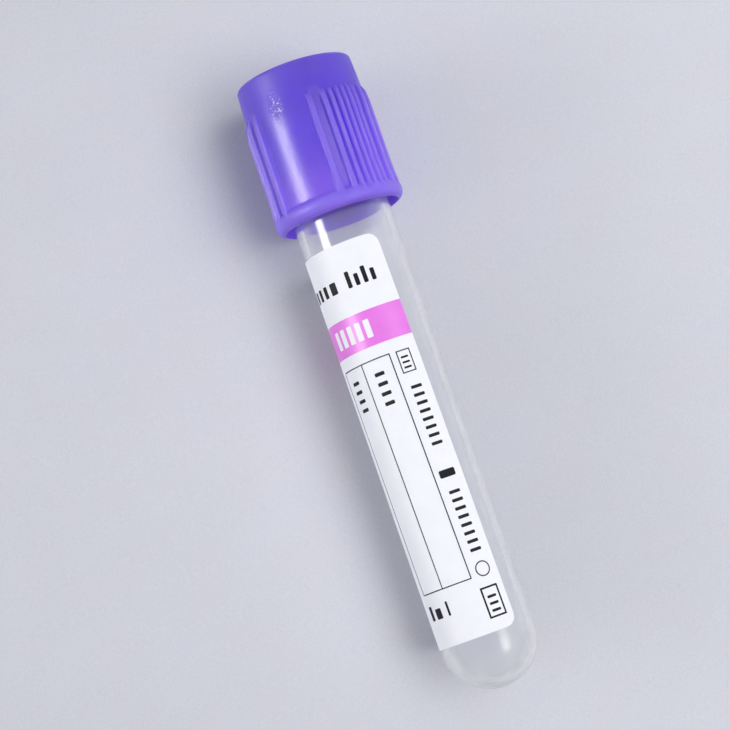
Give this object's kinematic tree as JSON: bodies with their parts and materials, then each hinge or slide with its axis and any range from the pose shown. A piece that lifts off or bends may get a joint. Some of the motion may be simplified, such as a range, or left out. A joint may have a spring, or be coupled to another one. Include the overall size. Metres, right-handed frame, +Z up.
{
  "type": "blood collection tube",
  "caption": "Clear round-bottomed evacuated blood collection tube with a ribbed cap over a rubber stopper, and a printed wrap label.",
  "frame": {"origin": "on the ground, at the middle of the flat ring round the cap's top, on which the tube stands upside down", "axes": "+Z up along the tube's axis, from the cap to the round end; -Y is the front, which shows the title and the plain panel of the cap; +X to the right of the front"},
  "size_m": [0.0172, 0.0172, 0.084],
  "materials": {
    "tube": "clear colourless moulded polyester, glossy",
    "stopper": "dark grey butyl rubber, matt",
    "cap": "violet moulded polythene, satin and slightly translucent",
    "label": "white coated paper, semi-matt",
    "band_ink": "pink printed colour",
    "black_ink": "black print"
  },
  "bodies": {
    "closure": {"cap": "cap", "stopper": "stopper"},
    "tube": {"tube": "tube", "label": "label", "label_band": "band_ink", "label_print": "black_ink"}
  },
  "joints": [
    {"name": "tube_pull", "type": "slide", "parent": "closure", "child": "tube", "axis": [0, 0, 1], "range_m": [0, 0.02]}
  ]
}
